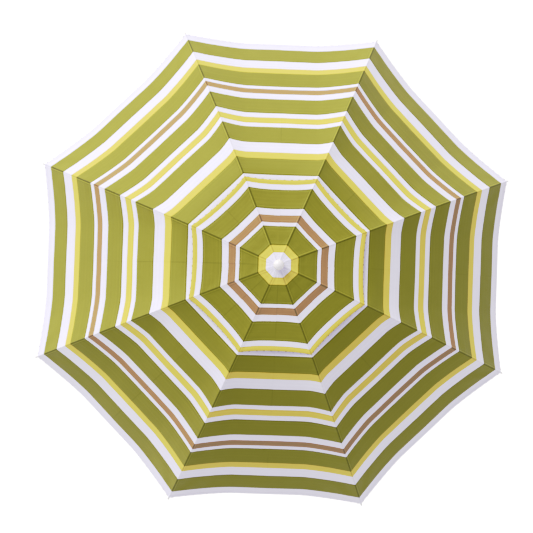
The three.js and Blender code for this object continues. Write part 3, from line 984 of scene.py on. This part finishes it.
def add_piece(name, shells, node, body, material, sharp=32):
    """A piece made of closed shells, which stands for a node and moves with a body."""
    points, faces, _ = merge([(*shell, 0) for shell in shells])
    piece = make_mesh(name, points, faces, sharp, [material])
    tidy_normals(piece)
    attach(piece, body)
    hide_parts(node)
    return piece


def slotted_ring(inner, outer, slot_r, slot_width, bottom, top):
    """A ring with a slot for each rib, as closed points and faces."""
    outline = []
    for i in range(RIBS):
        a = rib_azimuth(i + 1)
        edge, root = math.asin(slot_width / 2 / outer), math.asin(slot_width / 2 / slot_r)
        outline += [(slot_r, a - root), (slot_r, a), (slot_r, a + root), (outer, a + edge)]
        outline += [(outer, along(a + edge, a + 2 * HALF_SECTOR - edge, k / 6)) for k in range(1, 6)]
        outline += [(outer, a + 2 * HALF_SECTOR - edge)]
    count = len(outline)
    points = []
    for radius_of, z in ((None, bottom), (None, top), (inner, top), (inner, bottom)):
        points += [((radius_of or r) * math.cos(a), (radius_of or r) * math.sin(a), z) for r, a in outline]
    faces = []
    for level in range(4):
        low, high = level * count, (level + 1) % 4 * count
        faces += [(low + i, low + (i + 1) % count, high + (i + 1) % count, high + i) for i in range(count)]
    return points, faces


def ring_profile(inner, outer, bottom, top, ease=0.0005):
    """The profile of a ring with eased corners, starting half-way up its bore."""
    start = (inner, (bottom + top) / 2)
    return rounded([start, (inner, bottom), (outer, bottom), (outer, top), (inner, top), start], ease)[:-1]


# Shaft
shaft_low, shaft_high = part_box("shaft")
SHAFT_R = (shaft_high.x - shaft_low.x) / 2
BORE = SHAFT_R + SLIDE_GAP
tube = turned(ring_profile(SHAFT_R - 0.001, SHAFT_R, shaft_low.z, shaft_high.z))
add_piece("shaft_tube", [tube], "shaft", "shaft", drawn_steel)

# Ball finial, on a foot that caps the shaft
finial_low, finial_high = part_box("finial")
BALL_R = (finial_high.x - finial_low.x) / 2
ball_z = finial_high.z - BALL_R
ball = [(BALL_R * math.cos(a), ball_z + BALL_R * math.sin(a)) for a in np.linspace(-0.72, math.pi / 2, 22)]
ball[-1] = (0.0, finial_high.z)
socket_top = shaft_high.z + SLIDE_GAP
foot = [(0, socket_top), (BORE, socket_top), (BORE, finial_low.z), (0.012, finial_low.z),
        (0.012, finial_low.z + 0.0012), (ball[0][0] + 0.0006, finial_low.z + 0.0016)]
finial = turned(rounded(foot, 0.0005)[:-1] + ball, 72)
add_piece("ball_finial", [finial], "finial", "shaft", ball_plastic)

# Crown notch, with the wire that the ribs hinge on
notch_low, notch_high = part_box("crown_notch")
NOTCH_R = (notch_high.x - notch_low.x) / 2
roof = turned(ring_profile(BORE, NOTCH_R, PIVOT_Z + 0.003, notch_high.z, 0.0006), 72)
teeth = slotted_ring(BORE, NOTCH_R - 0.0002, SLOT_R, NOTCH_SLOT, notch_low.z, PIVOT_Z + 0.0031)
add_piece("crown_notch_ring", [roof, teeth], "crown_notch", "shaft", notch_plastic)
wire = turned([(PIVOT_R + 0.0005 * math.cos(a), PIVOT_Z + 0.0005 * math.sin(a))
               for a in np.linspace(0, 2 * math.pi, 9)[:-1]])
add_piece("crown_tying_wire", [wire], "crown_wire", "shaft", bright_metal)

stop_low, stop_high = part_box("runner_stop")
stop = turned(ring_profile(SHAFT_R + STOP_GAP, (stop_high.x - stop_low.x) / 2, stop_low.z, stop_high.z))
add_piece("runner_stop_ring", [stop], "runner_stop", "shaft", rib_steel)


# Runner
def with_relief(shell):
    """The shell with a groove along its bore, so that it slides over the catches."""
    points, faces = shell
    groove_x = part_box("bottom_catch")[1].x + RELIEF_GAP

    def in_groove(x, y):
        return x > 0 and abs(y) < RELIEF_HALF_WIDTH and math.hypot(x, y) < BORE + 0.0007

    return [(groove_x if in_groove(x, y) else x, y, z) for x, y, z in points], faces


runner_low, runner_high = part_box("runner")
sleeve = [(BORE, runner_low.z), (FLANGE_R, runner_low.z), (FLANGE_R, runner_low.z + 0.003),
          (SLEEVE_R, runner_low.z + 0.0055)]
for k in range(GROOVES):
    z = runner_low.z + GROOVE_START + GROOVE_PITCH * k
    floor_r = SLEEVE_R - 0.0006
    sleeve += [(SLEEVE_R, z), (floor_r, z + 0.0007), (floor_r, z + 0.0018), (SLEEVE_R, z + 0.0025)]
sleeve += [(SLEEVE_R, runner_high.z), (BORE, runner_high.z), (BORE, runner_low.z)]
head = slotted_ring(BORE, NOTCH_R, SLOT_R, RUNNER_SLOT, RUNNER_Z - HEAD_HALF, RUNNER_Z + HEAD_HALF)
shells = [with_relief(turned(rounded(sleeve, 0.0006, 2), 72)), with_relief(head)]
add_piece("runner_sleeve", shells, "runner", "runner", runner_plastic)


# Catches
def add_catch(node):
    """The sprung blade of a catch: a bent strip, square at its upper end and sloping in at its lower end."""
    low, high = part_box(node)
    half = (high.y - low.y) / 2
    outline = [(low.x, low.z), (along(low.x, high.x, 0.56), low.z), (high.x, high.z - CATCH_FLAT),
               (high.x, high.z - 0.0006), (high.x - 0.0006, high.z), (low.x, high.z)]
    blade = prism([(x, -half, z) for x, z in outline], [(x, half, z) for x, z in outline])
    piece = add_piece(node + "_blade", [blade], node, node, bright_metal, 25)
    bevel = piece.modifiers.new("ease", "BEVEL")
    bevel.width = 0.00025
    bevel.segments = 2


add_catch("top_catch")
add_catch("bottom_catch")

# Handle: foam grip with moulded ridges, end cap and ferrule
grip_low, grip_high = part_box("handle_grip")
grip = [(0, 0), (0.0138, 0), (0.0150, 0.006), (0.0155, 0.018), (0.0152, 0.034)]
grip = [(r, grip_low.z + z) for r, z in grip]
for k in range(RIDGES):
    z = grip_low.z + RIDGE_START + RIDGE_PITCH * k
    r = 0.0143 + 0.0007 * math.cos((z - 0.04) * 42)
    grip += [(r, z), (r - 0.0009, z + 0.0014), (r - 0.0009, z + 0.0028), (r, z + 0.0042)]
grip += [(0.0146, grip_high.z - 0.020), (0.0145, grip_high.z - 0.010), (0.0128, grip_high.z)]
grip += [(BORE, grip_high.z), (BORE, grip_low.z + 0.012), (0, grip_low.z + 0.012)]
foam = turned(rounded(grip, 0.0014), 72)
add_piece("handle_grip_foam", [foam], "handle_grip", "shaft", grip_foam, 40)

cap_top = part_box("handle_end_cap")[1].z
cap = turned(rounded([(0, 0), (0.012, 0), (0.014, 0.002), (0.014, cap_top), (0, cap_top)], 0.0008), 72)
add_piece("handle_end_cap_disc", [cap], "handle_end_cap", "shaft", runner_plastic)

ferrule_low, ferrule_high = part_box("handle_ferrule")
ferrule = [(BORE, 0.006), (BORE, 0), (0.012, 0), (0.012, 0.002), (0.0115, 0.0026)]
ferrule = [(r, ferrule_low.z + z) for r, z in ferrule]
ferrule += [(0.0110, ferrule_high.z - 0.003), (0.009, ferrule_high.z), (BORE, ferrule_high.z), ferrule[0]]
add_piece("handle_ferrule_ring", [turned(rounded(ferrule, 0.0005)[:-1], 72)], "handle_ferrule", "shaft",
          drawn_steel)


# ---------- floor, light and finish ----------


FLOOR_SIZE = 60
FLOOR_GAP = 0.002
FLOOR_GREY = 0.9
FLOOR_GLOW = 0.75
KEY_ENERGY = 2.05
KEY_WIDTH = math.radians(32)
KEY_AZIMUTH, KEY_HEIGHT = math.radians(128), math.radians(34)
KEY_COLOUR = (1.0, 0.985, 0.955)
SKY_COLOUR, SKY_STRENGTH = (0.98, 0.94, 1.0, 1), 0.50
# The camera's response, as (light, shown)
RESPONSE = [(0.048, 0.022), (0.082, 0.078), (0.133, 0.14), (0.167, 0.185), (0.22, 0.265), (0.28, 0.39),
            (0.425, 0.59), (0.68, 0.762)]
WHITE_SHOWN = 0.965


def add_floor():
    bpy.ops.mesh.primitive_plane_add(size=FLOOR_SIZE, location=(0, 0, cad_low.z - FLOOR_GAP))
    floor = bpy.context.object
    floor.name = "floor"
    t = Tree("floor_look", roughness=0.9, Specular_IOR_Level=0.1)
    t.shader.inputs["Base Color"].default_value = (FLOOR_GREY, FLOOR_GREY, FLOOR_GREY, 1)
    t.shader.inputs["Emission Color"].default_value = (1, 1, 1, 1)
    t.shader.inputs["Emission Strength"].default_value = FLOOR_GLOW
    floor.data.materials.append(t.material)
    return floor


def add_light(floor):
    """A soft key from the upper left of the picture, which the floor doesn't take, and an even white sky."""
    data = bpy.data.lights.new("key", "SUN")
    data.energy = KEY_ENERGY
    data.angle = KEY_WIDTH
    data.color = KEY_COLOUR
    key = bpy.data.objects.new("key", data)
    bpy.context.scene.collection.objects.link(key)
    key.matrix_world = pointing(direction_to(KEY_AZIMUTH, KEY_HEIGHT), (-3, 3, 4))
    lit = bpy.data.collections.new("lit_by_key")
    for piece in list(bpy.context.scene.objects):
        if piece.type == "MESH" and piece != floor:
            lit.objects.link(piece)
    key.light_linking.receiver_collection = lit
    world = bpy.data.worlds.new("sky")
    world.use_nodes = True
    background = world.node_tree.nodes["Background"]
    background.inputs["Color"].default_value = SKY_COLOUR
    background.inputs["Strength"].default_value = SKY_STRENGTH
    bpy.context.scene.world = world


def develop():
    """The camera's response: a soft toe, a steep middle and gentle highlights."""
    view = bpy.context.scene.view_settings
    view.view_transform = "Standard"
    view.use_curve_mapping = True
    mapping = view.curve_mapping
    mapping.extend = "EXTRAPOLATED"
    response = mapping.curves[3]
    response.points[-1].location = (1, WHITE_SHOWN)
    for light, shown in RESPONSE:
        response.points.new(light, shown)
    mapping.update()


add_light(add_floor())
develop()
